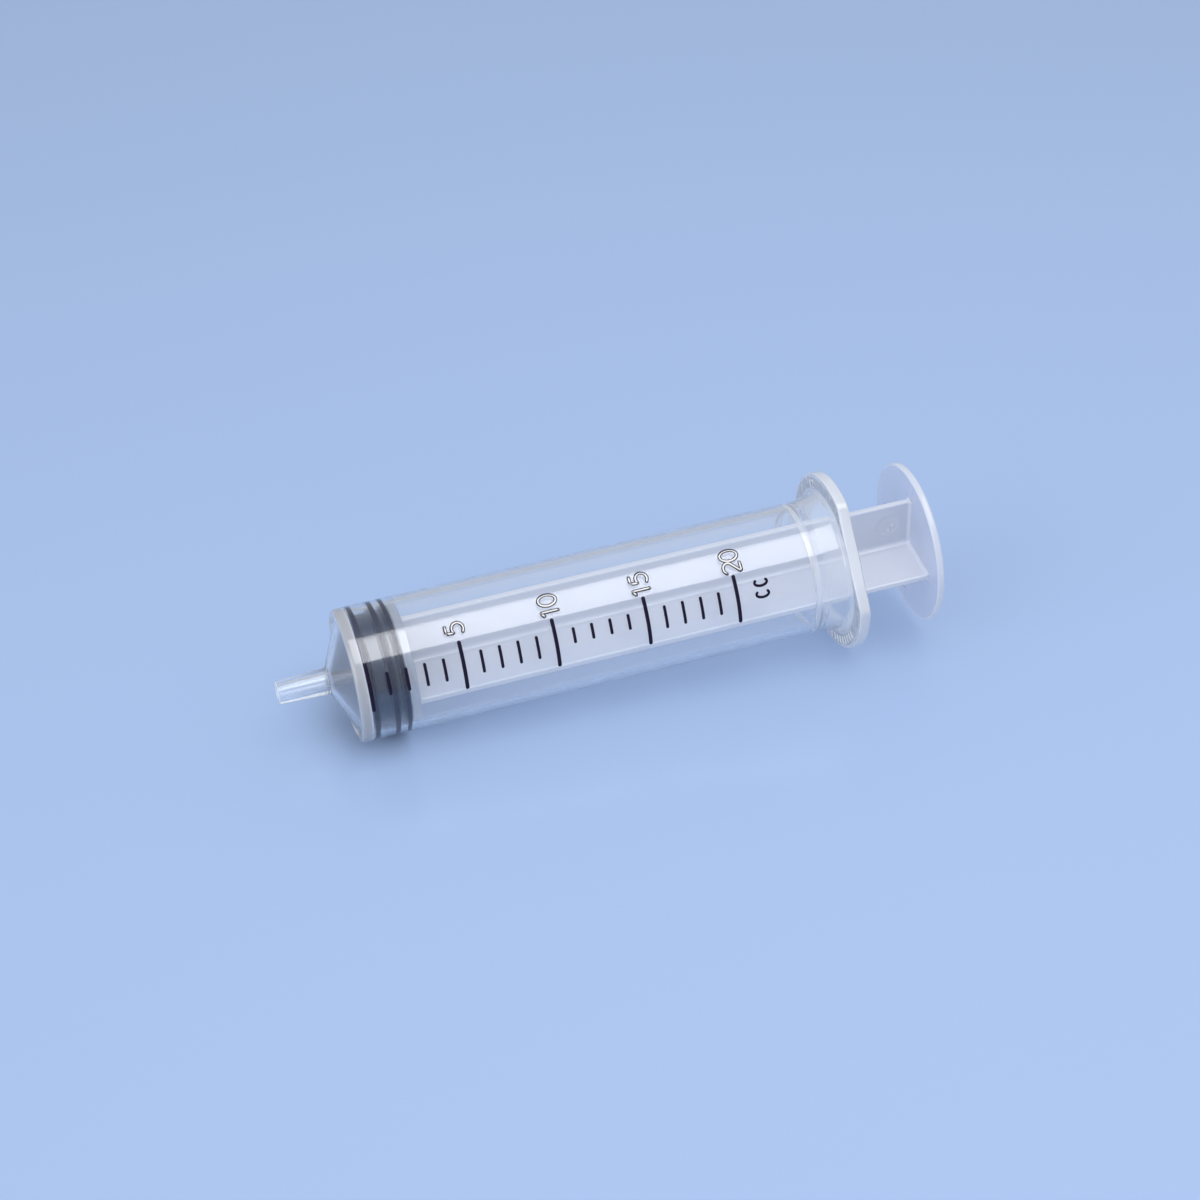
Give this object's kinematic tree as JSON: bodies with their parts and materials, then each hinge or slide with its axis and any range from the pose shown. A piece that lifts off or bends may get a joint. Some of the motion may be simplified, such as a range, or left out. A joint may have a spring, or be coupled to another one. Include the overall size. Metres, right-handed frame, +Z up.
{
  "type": "luer slip syringe",
  "caption": "Luer slip syringe: clear barrel with printed scale, rubber stopper and cross-section plunger rod that slides in the bore.",
  "frame": {"origin": "middle of the syringe's bounding box in plan, on the surface it lies on", "axes": "+X along the syringe from tip to thumb disc, +Z up; the axis of the barrel rises by under 3 degrees towards the thumb disc"},
  "size_m": [0.112, 0.0304, 0.0305],
  "materials": {
    "barrel_plastic": "clear, slightly milky moulded polypropylene",
    "scale_ink": "printed near-black ink",
    "stopper_rubber": "dark grey silicone-oiled rubber",
    "rod_plastic": "translucent milky moulded polypropylene"
  },
  "bodies": {
    "barrel": {"barrel": "barrel_plastic", "scale_marks": "scale_ink"},
    "stopper": {"stopper": "stopper_rubber"},
    "plunger_rod": {"plunger_rod": "rod_plastic"}
  },
  "joints": [
    {"name": "plunger_slide", "type": "slide", "parent": "barrel", "child": "stopper", "axis": [0.9988, 0, 0.0484], "range_m": [0, 0.06785]},
    {"name": "rod_turn", "type": "hinge", "parent": "stopper", "child": "plunger_rod", "pos_m": [-0.04226, 0, 0.01125], "axis": [0.9988, 0, 0.0484], "continuous": true}
  ]
}
